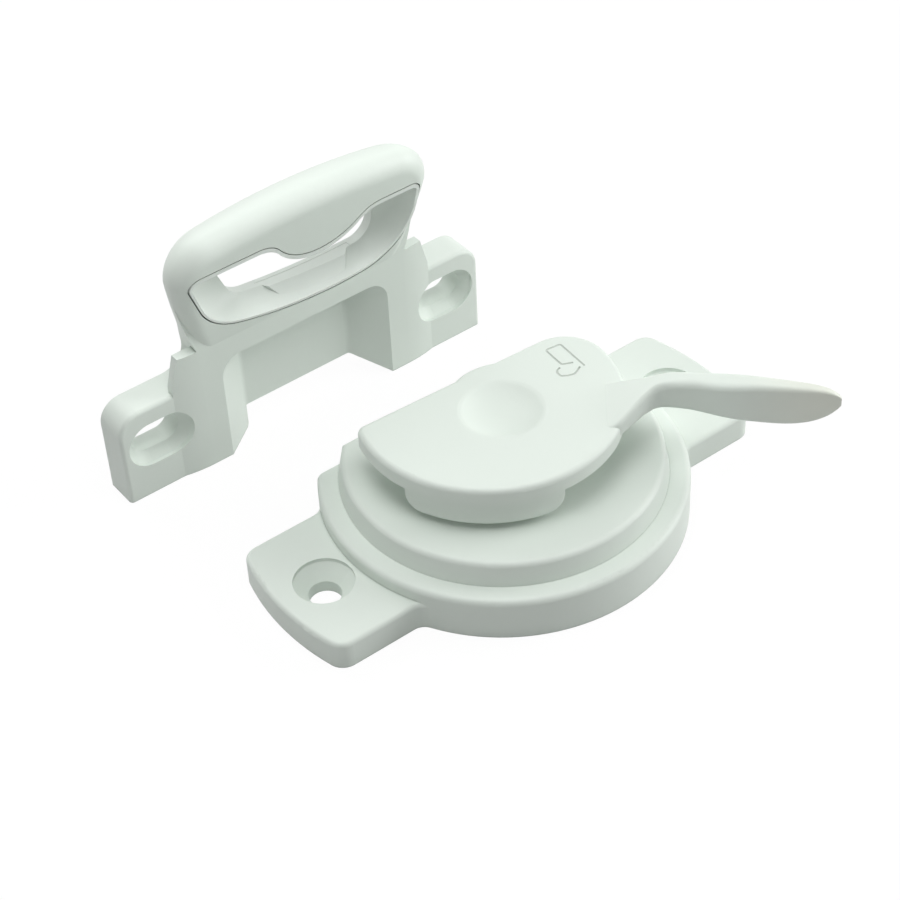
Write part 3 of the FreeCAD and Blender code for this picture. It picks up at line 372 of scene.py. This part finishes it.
def sign_cutter(material):
    """The sign's strokes as one solid to cut with."""
    points, edges = [], []
    for stroke in SIGN_STROKES:
        first = len(points)
        points += [(x * MM, y * MM, PLATE_TOP) for x, y in stroke]
        edges += [(place, place + 1) for place in range(first, len(points) - 1)]
    mesh = bpy.data.meshes.new("sign_strokes")
    mesh.from_pydata(points, edges, [])
    strokes = add_object("sign_strokes", mesh)
    tree, keys = groove_tree(material)
    sweep = strokes.modifiers.new("engraved_line", "NODES")
    sweep.node_group = tree
    sweep[keys["Line width"]] = SIGN_LINE_WIDTH
    sweep[keys["Line depth"]] = SIGN_LINE_DEPTH
    sweep[keys["Corner radius"]] = SIGN_CORNER
    cutter = add_object("sign_cutter", flatten(strokes, "sign_cutter"))
    bpy.data.objects.remove(strokes)
    return cutter


def follow(stations, place):
    """A smooth curve through stations, as (place, value), level beyond their ends."""
    places = [station[0] for station in stations]
    values = [station[1] for station in stations]
    if place <= places[0] or place >= places[-1]:
        return values[0] if place <= places[0] else values[-1]
    slopes = [0.0] + [(values[n + 1] - values[n - 1]) / (places[n + 1] - places[n - 1])
                      for n in range(1, len(values) - 1)] + [0.0]
    n = max(n for n in range(len(places) - 1) if places[n] <= place)
    span = places[n + 1] - places[n]
    t = (place - places[n]) / span
    return (values[n] * (1 + 2 * t) * (1 - t) ** 2 + values[n + 1] * t * t * (3 - 2 * t)
            + span * (slopes[n] * t * (1 - t) ** 2 - slopes[n + 1] * t * t * (1 - t)))


def bend(along, across):
    """How far a point of the lever moves back at its neck, in mm."""
    front, back = follow(LEAF_FRONT, along), follow(LEAF_BACK, along)
    share = min(max((across - front) / (back - front), 0.0), 1.0)
    return follow(FRONT_BEND, along) * (1 - share) + follow(BACK_BEND, along) * share


def on_lever(point):
    """True for a point that stands out of the plate, sideways or upwards."""
    return ((point - PLATE_CENTRE).to_2d().length > PLATE_REACH
            or point.z > PLATE_TOP + PLATE_MARGIN)


def split_neck(mesh, to_lever):
    """Merges the loose triangles of a CAD copy, and splits those of the lever's neck finely."""
    shape = bmesh.new()
    shape.from_mesh(mesh)
    bmesh.ops.remove_doubles(shape, verts=shape.verts, dist=MERGE_DISTANCE)
    first, last = FRONT_BEND[0][0] * MM, BACK_BEND[-1][0] * MM
    for _ in range(BEND_PASSES):
        long = [edge for edge in shape.edges if edge.calc_length() > BEND_STEP
                and any(on_lever(vertex.co) and first < (to_lever @ vertex.co).x < last
                        for vertex in edge.verts)]
        if not long:
            break
        bmesh.ops.subdivide_edges(shape, edges=long, cuts=1)
        bmesh.ops.triangulate(shape, faces=shape.faces)
    shape.to_mesh(mesh)
    shape.free()


def bend_neck(mesh, normals, to_lever):
    """Bends the lever back at its neck, and turns the normals with it."""
    from_lever = to_lever.transposed()
    places = [to_lever @ vertex.co / MM for vertex in mesh.vertices]
    for corner, loop in enumerate(mesh.loops):
        place = places[loop.vertex_index]
        if not FRONT_BEND[0][0] < place.x < BACK_BEND[-1][0] or not normals[corner].length:
            continue
        here = bend(place.x, place.y)
        along = (bend(place.x + SLOPE_STEP, place.y) - here) / SLOPE_STEP
        across = 1 + (bend(place.x, place.y + SLOPE_STEP) - here) / SLOPE_STEP
        normal = to_lever @ normals[corner]
        normal.y /= across
        normal.x -= along * normal.y
        normals[corner] = (from_lever @ normal).normalized()
    for vertex, place in zip(mesh.vertices, places):
        shift = Vector((0, bend(place.x, place.y) * MM, 0))
        vertex.co += from_lever @ shift


def carry_normals(mesh, source):
    """The smooth normals of the CAD node, with none for the faces that the cut made."""
    faces = BVHTree.FromPolygons([vertex.co for vertex in source.vertices],
                                 [face.vertices for face in source.polygons])
    corner_normals = source.corner_normals
    normals = []
    for face in mesh.polygons:
        for loop in face.loop_indices:
            if face.material_index:
                normals.append(Vector())
                continue
            point = mesh.vertices[mesh.loops[loop].vertex_index].co
            found = faces.find_nearest(point.lerp(face.center, LOOK_INWARD))[2]
            known = source.polygons[found]
            corners = [source.vertices[place].co for place in known.vertices]
            shares = poly_3d_calc(corners, point)
            normal = sum((corner_normals[place].vector * share
                          for place, share in zip(known.loop_indices, shares)), Vector())
            normals.append(normal.normalized())
    return normals


def engrave_cam(enamel, engraved):
    """A copy of the cam with the sign cut into its plate and its lever bent at the neck."""
    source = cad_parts["cam_lever"]
    mesh = source.data.copy()
    mesh.name = "engraved_cam"
    to_lever = Matrix.Rotation(math.radians(-LEVER_ANGLE), 3, "Z")
    split_neck(mesh, to_lever)
    mesh.materials.clear()
    mesh.materials.append(enamel)
    cam = add_object("engraved_cam", mesh)
    cutter = sign_cutter(engraved)
    cut = cam.modifiers.new("sign", "BOOLEAN")
    cut.operation = "DIFFERENCE"
    cut.solver = "EXACT"
    # The cut faces take the cutter's darker enamel, painted shade in the grooves
    cut.material_mode = "TRANSFER"
    cut.object = cutter
    cam.modifiers.new("triangles", "TRIANGULATE")
    mesh = flatten(cam, "engraved_cam")
    cam.modifiers.clear()
    cam.data = mesh
    bpy.data.objects.remove(cutter)
    for polygon in mesh.polygons:
        polygon.use_smooth = True
    normals = carry_normals(mesh, source.data)
    bend_neck(mesh, normals, to_lever)
    mesh.normals_split_custom_set(normals)
    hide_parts("cam_lever")
    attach(cam, "cam")
    return cam


def camera_axes():
    """Right, up and back directions of the camera, as vectors in the frame."""
    turn, rise = math.radians(CAMERA_AZIMUTH), math.radians(CAMERA_ELEVATION)
    back = Vector((math.sin(turn) * math.cos(rise), -math.cos(turn) * math.cos(rise),
                   math.sin(rise)))
    right = Vector((math.cos(turn), math.sin(turn), 0))
    up = back.cross(right)
    roll = math.radians(CAMERA_ROLL)
    tilted_right = math.cos(roll) * right + math.sin(roll) * up
    tilted_up = math.cos(roll) * up - math.sin(roll) * right
    return tilted_right, tilted_up, back


def place_camera():
    """The camera looks so that the pivot's foot falls on its pixel of the photograph."""
    right, up, back = camera_axes()
    middle = PICTURE_PIXELS / 2
    across = (PIVOT_PIXEL[0] - middle) / FOCAL_PIXELS * CAMERA_DISTANCE
    down = (PIVOT_PIXEL[1] - middle) / FOCAL_PIXELS * CAMERA_DISTANCE
    lens = bpy.data.cameras.new("camera")
    lens.sensor_width = SENSOR_WIDTH
    lens.lens = FOCAL_PIXELS / PICTURE_PIXELS * SENSOR_WIDTH
    lens.clip_start = 10 * MM
    camera = add_object("camera", lens)
    camera.matrix_world = Matrix((right, up, back)).transposed().to_4x4()
    camera.location = back * CAMERA_DISTANCE - right * across + up * down
    bpy.context.scene.camera = camera


def softbox(name, place, target, side, power):
    """A square light that the camera doesn't see."""
    light = bpy.data.lights.new(name, "AREA")
    light.shape = "SQUARE"
    light.size = side
    light.energy = power
    box = add_object(name, light)
    box.location = place
    aim = Vector(target) - Vector(place)
    box.rotation_euler = aim.to_track_quat("-Z", "Y").to_euler()
    box.visible_camera = False


def light_studio():
    """The lights, and a world that is dim as a light and white as a background."""
    for box in SOFTBOXES:
        softbox(*box)
    world = bpy.data.worlds.new("studio")
    bpy.context.scene.world = world
    world.use_nodes = True
    nodes = Nodes(world.node_tree)
    ambient = nodes.add("ShaderNodeBackground", None,
                        {"Color": WHITE, "Strength": AMBIENT_LEVEL})
    white = nodes.add("ShaderNodeBackground", None,
                      {"Color": WHITE, "Strength": BACKGROUND_LEVEL})
    mix = nodes.add("ShaderNodeMixShader", None, {0: nodes.seen_directly(), 1: ambient, 2: white})
    nodes.add("ShaderNodeOutputWorld", None, {"Surface": mix})


def lay_floor():
    """A pale floor that looks white and keeps a faint shadow."""
    mesh = bpy.data.meshes.new("floor")
    corners = ((-1, -1), (1, -1), (1, 1), (-1, 1))
    mesh.from_pydata([(x * FLOOR_REACH, y * FLOOR_REACH, 0) for x, y in corners], [],
                     [(0, 1, 2, 3)])
    floor = add_object("floor", mesh)
    material, nodes = new_material("floor_paper")
    matt = nodes.add("ShaderNodeBsdfDiffuse", None, {"Color": FLOOR_GREY})
    away = nodes.add("ShaderNodeVectorMath", {"operation": "LENGTH"}, {0: nodes.place()},
                     output=1)
    level = nodes.add("ShaderNodeMapRange", None, {
        "Value": away, "From Min": FLOOR_GLOW_NEAR[0], "From Max": FLOOR_GLOW_FAR[0],
        "To Min": FLOOR_GLOW_NEAR[1], "To Max": FLOOR_GLOW_FAR[1]})
    glow = nodes.add("ShaderNodeEmission", None, {"Color": WHITE, "Strength": level})
    nodes.surface(nodes.add("ShaderNodeMixShader", None, {
        0: nodes.seen_directly() * FLOOR_GLOW_SHARE, 1: matt, 2: glow}))
    mesh.materials.append(material)


def main():
    enamel = cast_enamel("cast_enamel", ENAMEL_DEEP, ENAMEL_PALE, ENAMEL_PEEL_DEPTH)
    # The grooves' enamel is darker: painted shade in the grooves
    engraved = cast_enamel("groove_shaded_enamel", GROOVE_SHADE_DEEP, GROOVE_SHADE_PALE,
                           ENGRAVED_PEEL_DEPTH)
    nylon, steel = moulded_nylon(), turned_steel()
    handled = cast_enamel("handled_enamel", ENAMEL_DEEP, ENAMEL_PALE, ENAMEL_PEEL_DEPTH,
                          handled=True)
    dress(("base_casting", "keeper_body"), enamel)
    dress(("keeper_liner", "thrust_washer"), nylon)
    dress(("pivot_pin", "friction_spring", "retaining_washer"), steel)
    engrave_cam(handled, engraved)
    place_camera()
    light_studio()
    lay_floor()
    bpy.context.scene.view_settings.view_transform = "Standard"


main()
